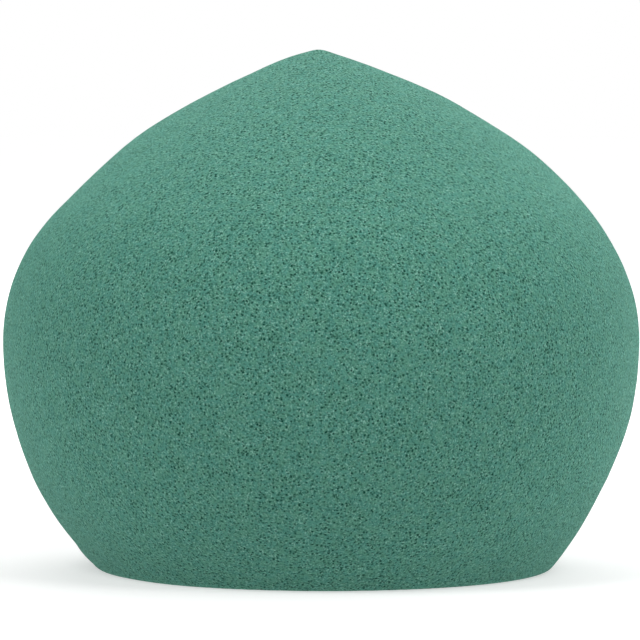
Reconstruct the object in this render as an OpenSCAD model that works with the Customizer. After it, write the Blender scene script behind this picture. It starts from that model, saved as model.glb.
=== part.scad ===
// Makeup sponge: one block of soft, fine-celled foam, ground to a squat drop.
// It has a small blunt tip, a gently curved crown, a full shoulder, a wide
// belly and a flat foot that it stands on. Millimetres, +Z up. The origin is
// the middle of the foot, and the drop is the same all the way round Z.
// Its outline is a chain of five arcs, each tangent to the next.

/* [Overall size] */
// Diameter at the belly, the widest place
body_d = 50; // [46:0.5:52]
// Height from the foot to the tip
body_h = 40.8; // [39.6:0.2:43]
// Height of the belly above the foot
belly_h = 18; // [16:0.25:20]
// Diameter of the flat foot, inside its soft rim
foot_d = 35; // [31:0.5:39]

/* [Outline] */
// Radius of the small round tip
tip_r = 2.2; // [1.2:0.1:4]
// Slope of the crown where it leaves the tip, in degrees
tip_slope = 15; // [11:0.5:18]
// Radius of the full shoulder, as a share of the rise from belly to tip
shoulder_share = 0.69; // [0.6:0.01:0.74]
// Radius of the soft rim round the foot
rim_r = 1.2; // [0.6:0.1:3]

/* [Hidden] */

// Straight steps in each arc of the outline, and in one turn round Z
arc_steps = 16;
turn_steps = 180;

// Colour of the foam, a greyed sea green
foam_colour = [0.31, 0.52, 0.45];

// The point at an angle and distance from a centre
function polar(centre, r, a) = centre + r * [cos(a), sin(a)];

// The angle at which one point is seen from another
function bearing(from, to) = atan2(to.y - from.y, to.x - from.x);

// Points along an arc, from its first angle up to its last step but one
function arc(centre, r, a_first, a_last) =
    [for (i = [0 : arc_steps - 1])
        polar(centre, r, a_first + (a_last - a_first) * i / arc_steps)];

// Radius of the arc that leaves a point at right angles to the direction a,
// curves towards the drop's inside, and ends tangent to a smaller arc inside
function wrapping_radius(point, a, centre, r) =
    let(across = point - centre)
    (across * across - r * r) / (2 * (across * polar([0, 0], 1, a) - r));

// Small arcs that the long ones run between: the tip, the shoulder and the
// rim. Centres are given as distance from the axis and height.
shoulder_r = shoulder_share * (body_h - belly_h);
tip_centre = [0, body_h - tip_r];
shoulder_centre = [body_d / 2 - shoulder_r, belly_h];
rim_centre = [foot_d / 2, rim_r];

// The crown leaves the tip at its slope and runs into the shoulder
tip_end = 90 - tip_slope;
crown_start = polar(tip_centre, tip_r, tip_end);
crown_r = wrapping_radius(crown_start, tip_end, shoulder_centre, shoulder_r);
crown_centre = polar(crown_start, -crown_r, tip_end);
crown_end = bearing(crown_centre, shoulder_centre);

// The flank leaves the shoulder upright at the belly and runs into the rim
belly = [body_d / 2, belly_h];
shoulder_end = 0;
flank_r = wrapping_radius(belly, shoulder_end, rim_centre, rim_r);
flank_centre = polar(belly, -flank_r, shoulder_end);
flank_end = bearing(flank_centre, rim_centre);
rim_end = -90;

// Half of the drop's outline: from the tip down to the edge of the foot, then
// in along the foot to the axis
outline = concat(
    arc(tip_centre, tip_r, 90, tip_end),
    arc(crown_centre, crown_r, tip_end, crown_end),
    arc(shoulder_centre, shoulder_r, crown_end, shoulder_end),
    arc(flank_centre, flank_r, shoulder_end, flank_end),
    arc(rim_centre, rim_r, flank_end, rim_end),
    [[rim_centre.x, 0], [0, 0]]);

// The whole sponge: the outline turned once round Z
module foam_body() {
    color(foam_colour)
        rotate_extrude($fn = turn_steps)
            polygon(outline);
}

foam_body();
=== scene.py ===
# Makeup sponge, for Blender 4.5: one squat drop of fine sea-green foam that
# stands on its flat foot. Metres, +Z up. The foam piece takes the place of
# the frame's plain solid and keeps its size.

import math

import bpy
from mathutils import Matrix, Vector


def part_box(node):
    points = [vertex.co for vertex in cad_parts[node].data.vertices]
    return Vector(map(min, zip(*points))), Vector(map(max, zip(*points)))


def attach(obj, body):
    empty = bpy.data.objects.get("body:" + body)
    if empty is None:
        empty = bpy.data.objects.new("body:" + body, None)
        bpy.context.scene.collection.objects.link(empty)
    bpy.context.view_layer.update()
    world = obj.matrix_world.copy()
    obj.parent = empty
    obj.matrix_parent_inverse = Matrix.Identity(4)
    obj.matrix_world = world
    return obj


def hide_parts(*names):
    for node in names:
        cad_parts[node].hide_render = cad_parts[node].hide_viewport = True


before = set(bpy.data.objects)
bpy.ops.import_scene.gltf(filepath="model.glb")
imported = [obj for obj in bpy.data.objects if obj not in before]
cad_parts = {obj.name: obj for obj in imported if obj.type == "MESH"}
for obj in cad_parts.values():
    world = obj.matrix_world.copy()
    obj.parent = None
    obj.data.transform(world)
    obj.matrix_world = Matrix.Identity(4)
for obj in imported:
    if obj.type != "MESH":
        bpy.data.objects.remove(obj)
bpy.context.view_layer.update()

MM = 0.001
TURN = 2 * math.pi

low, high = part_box("foam_body")
BODY_R = (high.x - low.x) / 2
BODY_H = high.z - low.z
FOOT_Z = low.z

# Where its outline turns: heights and radii of the arcs it is made of
BELLY_H = 18 * MM
FOOT_R = 17.5 * MM
TIP_R = 2.2 * MM
TIP_SLOPE = math.radians(15)
SHOULDER_SHARE = 0.69
SHOULDER_R = SHOULDER_SHARE * (BODY_H - BELLY_H)
RIM_R = 1.2 * MM

# Each arc is drawn in steps no wider than this and no fewer than these, and
# the turn round Z has its own number of steps
ARC_STEP = math.radians(1.5)
ARC_STEPS_LEAST = 4
TURN_STEPS = 720
# Points nearer than this become one
WELD = 0.001 * MM
# Rings of the flat foot, as shares of its radius
FOOT_RINGS = (0.99, 0.97, 0.93, 0.86, 0.75, 0.55, 0.3)

# The even skin: six square patches, each halved this many times, of a ball
# that the drop fits in
SKIN_HALVINGS = 7
BALL_SHARE = 1.2
BALL_R = BALL_SHARE * BODY_R
# How the patches lie on the map that is baked, and the gap round each
MAP_COLUMNS = 3
MAP_ROWS = 2
MAP_GAP = 0.004

# What the camera looks at, how far off it stands, how far it looks down and
# how far it leans
CAMERA_AIM = Vector((-0.15 * MM, 0, 19.62 * MM))
CAMERA_DISTANCE = 380 * MM
CAMERA_TILT = math.radians(2.8)
CAMERA_ROLL = math.radians(0.165)
# Its lens and sensor in millimetres, and how near and far it sees in metres
CAMERA_LENS = 271
CAMERA_SENSOR = 36
CAMERA_NEAR = 0.01
CAMERA_FAR = 50


def edit():
    """Edit mode, where operators act on the active piece's mesh."""
    bpy.ops.object.mode_set(mode="EDIT")


def leave_edit():
    """Back to object mode, which writes the edit to the mesh."""
    bpy.ops.object.mode_set(mode="OBJECT")


def deselect():
    """Nothing is selected, so that the next operator acts on one piece."""
    bpy.ops.object.select_all(action="DESELECT")


def settle(name):
    """The new primitive's place goes into its mesh, and it gets its name."""
    bpy.ops.object.transform_apply(location=True, rotation=True, scale=True)
    piece = bpy.context.object
    piece.name = name
    piece.data.name = name
    return piece


def apply_modifier(piece, kind, **settings):
    """Adds one modifier to the active piece and makes its effect the mesh."""
    modifier = piece.modifiers.new(kind.lower(), kind)
    for key, value in settings.items():
        setattr(modifier, key, value)
    bpy.ops.object.modifier_apply(modifier=modifier.name)


def ahead(angle):
    """One step in a direction."""
    return Vector((math.cos(angle), math.sin(angle)))


def polar(centre, radius, angle):
    """The point at an angle and distance from a centre."""
    return centre + radius * ahead(angle)


def wrapping_radius(point, angle, centre, radius):
    """Radius of the arc that leaves a point at right angles to a direction
    and ends tangent to a smaller arc inside it."""
    across = point - centre
    spare = across.length_squared - radius**2
    return spare / (2 * (across.dot(ahead(angle)) - radius))


def bearing(start, end):
    """The angle at which one point is seen from another."""
    return math.atan2(end.y - start.y, end.x - start.x)


def outline_arcs():
    """The five arcs of the outline, tip to rim: centre, first angle and last
    angle of each, in the plane of distance from the axis and height."""
    tip = Vector((0, BODY_H - TIP_R))
    shoulder = Vector((BODY_R - SHOULDER_R, BELLY_H))
    rim = Vector((FOOT_R, RIM_R))
    tip_end = TURN / 4 - TIP_SLOPE
    crown_start = polar(tip, TIP_R, tip_end)
    crown_r = wrapping_radius(crown_start, tip_end, shoulder, SHOULDER_R)
    crown = polar(crown_start, -crown_r, tip_end)
    crown_end = bearing(crown, shoulder)
    belly = Vector((BODY_R, BELLY_H))
    flank_r = wrapping_radius(belly, 0, rim, RIM_R)
    flank = polar(belly, -flank_r, 0)
    flank_end = bearing(flank, rim)
    return (
        (tip, TURN / 4, tip_end),
        (crown, tip_end, crown_end),
        (shoulder, crown_end, 0),
        (flank, 0, flank_end),
        (rim, flank_end, -TURN / 4),
    )


def turned_drop():
    """The drop's outline, spun arc by arc from one point at the tip, and then
    turned once round Z."""
    deselect()
    bpy.ops.mesh.primitive_plane_add(size=MM, location=(0, 0, BODY_H))
    drop = settle("drop")
    edit()
    bpy.ops.mesh.select_all(action="SELECT")
    bpy.ops.mesh.merge(type="CENTER")
    for centre, first, last in outline_arcs():
        bpy.ops.mesh.spin(
            steps=max(ARC_STEPS_LEAST, math.ceil((first - last) / ARC_STEP)),
            angle=first - last,
            center=(centre.x, 0, centre.y),
            axis=(0, -1, 0),
        )
    reached = 1
    for share in (*FOOT_RINGS, 0):
        step = (share - reached) * FOOT_R
        reached = share
        bpy.ops.mesh.extrude_region_move(
            TRANSFORM_OT_translate={"value": (step, 0, 0)}
        )
    leave_edit()
    apply_modifier(
        drop,
        "SCREW",
        axis="Z",
        angle=TURN,
        steps=TURN_STEPS,
        render_steps=TURN_STEPS,
        use_merge_vertices=True,
        merge_threshold=WELD,
    )
    edit()
    bpy.ops.mesh.select_all(action="SELECT")
    bpy.ops.mesh.normals_make_consistent(inside=False)
    leave_edit()
    return drop


# Where the ground foam is a little fuller or slimmer than a true turned
# shape: a place on it, how far it is pulled, and how far off the foam still
# follows. Millimetres. Negative X is the left side, negative Y the front.
PULLS = (
    # The tip leans to the left and is blunt there
    ((-2.4, 0, 40.4), (0, 0, 0.2), 4.4),
    ((0, 0, 40.8), (-0.17, 0, 0.03), 2),
    ((5, 0, 39.6), (0, 0, -0.09), 6),
    # The left shoulder is flatter, and the right one fuller
    ((-10, 0, 36.5), (0.04, 0, -0.08), 7),
    ((-19.5, 0, 29.5), (0.21, 0, -0.21), 8),
    ((16.5, 0, 32), (0.14, 0, 0.14), 7),
    ((22.5, 0, 25.5), (-0.13, 0, -0.07), 6),
    # The belly and the flanks
    ((-25, 0, 17), (-0.11, 0, 0), 10),
    ((22, 0, 5.5), (-0.4, 0, 0), 8.5),
    # The rim is worn rounder at the left
    ((-18, 0, 0.5), (0.45, 0, 0), 9),
    ((-16, -9, 0.5), (0.36, 0.18, 0), 9),
    ((-16, 9, 0.5), (0.36, -0.18, 0), 9),
    ((-18.8, 0, 1.2), (-0.28, 0, 0), 2.2),
)

# Unevenness that grinding leaves: how wide and how deep its swells are
SWELLS = ((9 * MM, 0.12 * MM), (2.2 * MM, 0.04 * MM))
# The foot stays flat up to the first height, and the unevenness is full from
# the second
EVEN_BELOW = 0.3 * MM
UNEVEN_ABOVE = 3 * MM
UNEVEN_POINTS = "above_foot"

# The middle of a noise that runs from 0 to 1
MIDDLE = 0.5


def pull_shape(piece):
    """Pulls the foam at each place, and less and less of it further off."""
    for vertex in piece.data.vertices:
        start = vertex.co.copy()
        for place, by, reach in PULLS:
            share = 1 - (start - Vector(place) * MM).length / (reach * MM)
            if share > 0:
                vertex.co += Vector(by) * MM * share * share * (3 - 2 * share)


def roughen(piece):
    """Gives the ground skin its soft unevenness and leaves the foot flat."""
    group = piece.vertex_groups.new(name=UNEVEN_POINTS)
    for vertex in piece.data.vertices:
        share = (vertex.co.z - FOOT_Z - EVEN_BELOW) / (UNEVEN_ABOVE - EVEN_BELOW)
        if share > 0:
            group.add([vertex.index], min(share, 1), "REPLACE")
    for width, depth in SWELLS:
        swell = bpy.data.textures.new("swell", "CLOUDS")
        swell.noise_scale = width
        apply_modifier(
            piece,
            "DISPLACE",
            texture=swell,
            texture_coords="LOCAL",
            direction="NORMAL",
            mid_level=MIDDLE,
            strength=depth,
            vertex_group=UNEVEN_POINTS,
        )
    piece.vertex_groups.clear()


def lay_out_patches(cube):
    """Lays the cube's six faces side by side on the map that is baked."""
    layer = cube.data.uv_layers.new(name="OFBake")
    for face in cube.data.polygons:
        left = face.index % MAP_COLUMNS / MAP_COLUMNS + MAP_GAP
        right = left + 1 / MAP_COLUMNS - 2 * MAP_GAP
        bottom = face.index // MAP_COLUMNS / MAP_ROWS + MAP_GAP
        top = bottom + 1 / MAP_ROWS - 2 * MAP_GAP
        corners = ((left, bottom), (right, bottom), (right, top), (left, top))
        for loop, corner in zip(face.loop_indices, corners):
            layer.data[loop].uv = corner


def even_skin(drop):
    """A ball of even squares with no poles, drawn in onto the drop."""
    middle = (0, 0, BELLY_H)
    deselect()
    bpy.ops.mesh.primitive_cube_add(
        size=2 * BODY_R, location=middle, calc_uvs=False
    )
    skin = settle("sponge_foam")
    lay_out_patches(skin)
    deselect()
    bpy.ops.object.empty_add(location=middle)
    centre = bpy.context.object
    deselect()
    skin.select_set(True)
    bpy.context.view_layer.objects.active = skin
    apply_modifier(
        skin,
        "SUBSURF",
        levels=SKIN_HALVINGS,
        render_levels=SKIN_HALVINGS,
        uv_smooth="NONE",
    )
    apply_modifier(
        skin,
        "CAST",
        cast_type="SPHERE",
        object=centre,
        factor=1,
        size=BALL_R,
        use_radius_as_size=False,
    )
    apply_modifier(
        skin,
        "SHRINKWRAP",
        target=drop,
        wrap_method="PROJECT",
        use_negative_direction=True,
        use_positive_direction=False,
    )
    bpy.data.objects.remove(centre)
    bpy.ops.object.shade_smooth()
    return skin


def make_foam():
    """The sponge's one piece of foam."""
    drop = turned_drop()
    foam = even_skin(drop)
    bpy.data.objects.remove(drop)
    pull_shape(foam)
    roughen(foam)
    return foam


class Wire:
    """One output of a shader node. Plain maths on wires adds Math nodes."""

    def __init__(self, sheet, socket):
        self.sheet = sheet
        self.socket = socket

    def maths(self, operation, *values):
        made = self.sheet.node(
            "ShaderNodeMath", {"operation": operation}, dict(enumerate(values))
        )
        return made["Value"]

    def __add__(self, other):
        return self.maths("ADD", self, other)

    def __sub__(self, other):
        return self.maths("SUBTRACT", self, other)

    def __rsub__(self, other):
        return self.maths("SUBTRACT", other, self)

    def __mul__(self, other):
        return self.maths("MULTIPLY", self, other)

    def __truediv__(self, other):
        return self.maths("DIVIDE", self, other)

    __radd__ = __add__
    __rmul__ = __mul__


class Sheet:
    """A new material and its nodes."""

    def __init__(self, name):
        self.material = bpy.data.materials.new(name)
        self.material.use_nodes = True
        self.tree = self.material.node_tree
        self.tree.nodes.clear()

    def node(self, kind, settings, inputs):
        """Adds a node. Its settings come first, then the values or wires of
        its sockets, by name or place. Gives its outputs by name."""
        made = self.tree.nodes.new(kind)
        for key, value in settings.items():
            setattr(made, key, value)
        shown = [socket for socket in made.inputs if socket.enabled]
        for key, value in inputs.items():
            if isinstance(key, int):
                socket = shown[key]
            else:
                socket = next(s for s in shown if s.name == key)
            if isinstance(value, Wire):
                self.tree.links.new(value.socket, socket)
            else:
                socket.default_value = value
        return {s.name: Wire(self, s) for s in made.outputs if s.enabled}

    def coordinates(self):
        """Places on the piece, in metres from its origin."""
        return self.node("ShaderNodeTexCoord", {}, {})["Object"]

    def vector(self, operation, *values):
        """One step of vector maths."""
        made = self.node(
            "ShaderNodeVectorMath",
            {"operation": operation},
            dict(enumerate(values)),
        )
        return next(iter(made.values()))

    def noise(self, place, size, detail):
        """Soft spots of a size, with so much finer detail on them."""
        made = self.node(
            "ShaderNodeTexNoise",
            {"noise_dimensions": "3D"},
            {"Vector": place, "Scale": 1 / size, "Detail": detail},
        )
        return made["Fac"]

    def ease(self, value, start, end):
        """0 at the start and 1 at the end, with a smooth run between."""
        made = self.node(
            "ShaderNodeMapRange",
            {"interpolation_type": "SMOOTHSTEP"},
            {"Value": value, "From Min": start, "From Max": end},
        )
        return made["Result"]

    def blend(self, share, first, second):
        """From the first colour to the second, by a share."""
        made = self.node(
            "ShaderNodeMix",
            {"data_type": "RGBA"},
            {"Factor": share, "A": first, "B": second},
        )
        return made["Result"]

    def finish(self, shader):
        """Wires the shader to the surface and gives the material."""
        self.node("ShaderNodeOutputMaterial", {}, {"Surface": shader})
        return self.material


# How much finer detail a noise has
SMOOTH = 0
DETAILED = 1

# The foam's colour on its skin, where it is a little bluer, the painted shade
# deep in a cut cell, and the painted highlight on the ends of strands that catch
# the light
FOAM_SKIN = (0.079, 0.241, 0.174, 1)
FOAM_COOL = (0.069, 0.233, 0.183, 1)
FOAM_PIT_SHADE = (0, 0.046, 0.028, 1)
FOAM_STRAND_HIGHLIGHT = (0.22, 0.45, 0.37, 1)
# How far apart the cut cells are, how wide one opens as a share of that, and
# how much that share varies
CELL = 0.32 * MM
CELL_OPENING = 0.5
CELL_VARIETY = 0.4
# How dark the painted shade of the palest cell is beside the darkest, how dark
# the pattern is on the whole, and how deep the cells are
CELL_PALEST = 0.35
CELL_MEAN = 0.16
CELL_DEPTH = 0.07 * MM
# Finer unevenness of the foam's strands
GRAIN = 0.145 * MM
GRAIN_SHARE = 1.35
# Strands that catch the light, with a painted highlight: their size, where the
# noise that places them starts and ends, how pale the painted highlight makes
# them, and how far they stand up
STRAND = 0.13 * MM
STRAND_START = 0.5
STRAND_END = 0.8
STRAND_HIGHLIGHT_SHARE = 0.65
STRAND_RISE = 0.2
# How far apart the places are where cells and strands stand out more, and by
# how much
CROWD = 0.85 * MM
CROWD_SHARE = 1.5
# Soft patches where the foam is a little denser, and where it is bluer
PATCH = 2.2 * MM
PATCH_SHARE = 0.2
COOL = 0.6 * MM
COOL_START = 0.35
COOL_END = 0.65
# Roughness on the skin, how much rougher a cell's bottom is, and the shine
FOAM_ROUGH = 0.75
CELL_ROUGH = 0.2
FOAM_SHINE = 0.1
# The nap: fine cut ends of strands, which catch light that grazes the foam
NAP = 0.35
NAP_ROUGH = 0.5
NAP_COLOUR = (0.28, 0.74, 0.58, 1)


def cut_cells(sheet, place):
    """Cells cut open by the grinding: up to 1 in the middle of one, and 0 on
    the skin between them. The value sets both how deep a cell is and how much
    painted shade darkens it."""
    cells = sheet.node(
        "ShaderNodeTexVoronoi",
        {"voronoi_dimensions": "3D", "feature": "F1"},
        {"Vector": place, "Scale": 1 / CELL},
    )
    colour = {"Color": cells["Color"]}
    chance = sheet.node("ShaderNodeSeparateColor", {}, colour)
    out = sheet.vector("SUBTRACT", place, (0, 0, BELLY_H))
    offset = sheet.vector("SUBTRACT", place, cells["Position"])
    inward = sheet.vector("PROJECT", offset, out)
    across = sheet.vector("DISTANCE", offset, inward) / CELL
    opening = CELL_OPENING * (1 + CELL_VARIETY * (chance["Green"] - MIDDLE))
    # How dark the painted shade of this cell is, and also how deep it is
    depth = CELL_PALEST + (1 - CELL_PALEST) * chance["Red"]
    return (1 - sheet.ease(across / opening, 0, 1)) * depth


def foam_material():
    """Fine open-celled foam: cut cells darkened with painted shade in a paler
    skin of strands, whose ends get a painted highlight.
    """
    sheet = Sheet("sea_green_foam")
    place = sheet.coordinates()
    cells = cut_cells(sheet, place)
    grain = sheet.noise(place, GRAIN, SMOOTH) - MIDDLE
    patch = sheet.noise(place, PATCH, DETAILED) - MIDDLE
    crowd = 1 + CROWD_SHARE * (sheet.noise(place, CROWD, DETAILED) - MIDDLE)
    texture = (cells - CELL_MEAN + grain * GRAIN_SHARE) * crowd
    # The cells' painted shade with random grain and patches: it darkens the
    # colour and also sets the bump
    pit_shade_and_tone = CELL_MEAN + texture + patch * PATCH_SHARE
    cool = sheet.noise(place, COOL, DETAILED)
    cool = sheet.ease(cool, COOL_START, COOL_END)
    strand = sheet.noise(place, STRAND, SMOOTH)
    strand = sheet.ease(strand, STRAND_START, STRAND_END)
    skin = sheet.blend(cool, FOAM_SKIN, FOAM_COOL)
    # A painted highlight on the strand ends that catch the light
    skin = sheet.blend(strand * crowd * STRAND_HIGHLIGHT_SHARE, skin, FOAM_STRAND_HIGHLIGHT)
    bump = sheet.node(
        "ShaderNodeBump",
        {},
        {
            "Strength": 1,
            "Distance": CELL_DEPTH,
            "Height": strand * STRAND_RISE - pit_shade_and_tone,
        },
    )["Normal"]
    surface = sheet.node(
        "ShaderNodeBsdfPrincipled",
        {},
        {
            # Painted shade darkens the colour in the cut cells
            "Base Color": sheet.blend(pit_shade_and_tone, skin, FOAM_PIT_SHADE),
            "Roughness": FOAM_ROUGH + CELL_ROUGH * cells,
            "Specular IOR Level": FOAM_SHINE,
            "Sheen Weight": NAP,
            "Sheen Roughness": NAP_ROUGH,
            "Sheen Tint": NAP_COLOUR,
            "Normal": bump,
        },
    )["BSDF"]
    return sheet.finish(surface)


# The floor: its colour and roughness, and its plate's width in metres
FLOOR = (0.5, 0.5, 0.5, 1)
FLOOR_ROUGH = 0.9
FLOOR_WIDTH = 6
# The light that comes up through it: near the drop and far off, where the
# first gives way to the second, in metres from the middle, and its strength
GLOW_NEAR = (0.55, 0.55, 0.55, 1)
GLOW_FAR = (1, 1, 1, 1)
GLOW_START = 0.05
GLOW_END = 0.25
GLOW_STRENGTH = 1


def floor_material():
    """A pale plate, lit through from below as on a product table."""
    sheet = Sheet("pale_floor")
    reach = sheet.vector("LENGTH", sheet.coordinates())
    share = sheet.ease(reach, GLOW_START, GLOW_END)
    surface = sheet.node(
        "ShaderNodeBsdfPrincipled",
        {},
        {
            "Base Color": FLOOR,
            "Roughness": FLOOR_ROUGH,
            "Emission Color": sheet.blend(share, GLOW_NEAR, GLOW_FAR),
            "Emission Strength": GLOW_STRENGTH,
        },
    )["BSDF"]
    return sheet.finish(surface)


def make_camera():
    """The camera in front of the drop, looking down a little."""
    data = bpy.data.cameras.new("camera")
    data.lens = CAMERA_LENS
    data.sensor_width = CAMERA_SENSOR
    data.clip_start = CAMERA_NEAR
    data.clip_end = CAMERA_FAR
    camera = bpy.data.objects.new("camera", data)
    back = Vector((0, -math.cos(CAMERA_TILT), math.sin(CAMERA_TILT)))
    turn = (-back).to_track_quat("-Z", "Y").to_matrix().to_4x4()
    spot = Matrix.Translation(CAMERA_AIM + back * CAMERA_DISTANCE)
    camera.matrix_world = spot @ turn @ Matrix.Rotation(CAMERA_ROLL, 4, "Z")
    bpy.context.collection.objects.link(camera)
    bpy.context.scene.camera = camera


def make_floor():
    """The plate that the drop stands on. It isn't part of the sponge."""
    deselect()
    bpy.ops.mesh.primitive_plane_add(size=FLOOR_WIDTH, location=(0, 0, FOOT_Z))
    floor = settle("floor")
    floor.data.materials.append(floor_material())


# The studio's soft lamps: what they face, and where each is, its width and
# height, and its power in watts. Metres.
LAMP_AIM = Vector((0, 0, 20 * MM))
LAMPS = {
    "lamp_top": ((0, 0, 0.5), 0.5, 0.5, 1.2),
    "lamp_top_back": ((0, 0.35, 0.35), 0.5, 0.3, 1.12),
    "lamp_front_left": ((-0.25, -0.25, 0.4), 0.2, 0.2, 1.22),
    "lamp_front_right": ((0.25, -0.25, 0.4), 0.2, 0.2, 0.99),
    "lamp_right": ((0.35, 0, 0.4), 0.3, 0.3, 0.61),
    "lamp_back_right": ((0.35, 0.4, 0.1), 0.3, 0.2, 0.28),
}


def softbox(name, place, width, height, power):
    """One flat soft lamp, which faces the middle of the drop."""
    data = bpy.data.lights.new(name, "AREA")
    data.shape = "RECTANGLE"
    data.size = width
    data.size_y = height
    data.energy = power
    lamp = bpy.data.objects.new(name, data)
    lamp.location = Vector(place)
    lamp.rotation_mode = "QUATERNION"
    facing = LAMP_AIM - lamp.location
    lamp.rotation_quaternion = facing.to_track_quat("-Z", "Y")
    lamp.visible_camera = False
    bpy.context.collection.objects.link(lamp)


def make_world():
    """A white surround for the picture, which adds no light of its own."""
    world = bpy.data.worlds.new("studio")
    world.use_nodes = True
    tree = world.node_tree
    seen = tree.nodes.new("ShaderNodeLightPath").outputs["Is Camera Ray"]
    tree.links.new(seen, tree.nodes["Background"].inputs["Strength"])
    tree.nodes["Background"].inputs["Color"].default_value = (1, 1, 1, 1)
    bpy.context.scene.world = world


make_camera()
foam = make_foam()
foam.data.materials.append(foam_material())
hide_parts("foam_body")
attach(foam, "root")
make_floor()
for name, (place, width, height, power) in LAMPS.items():
    softbox(name, place, width, height, power)
make_world()
bpy.context.scene.view_settings.view_transform = "Standard"
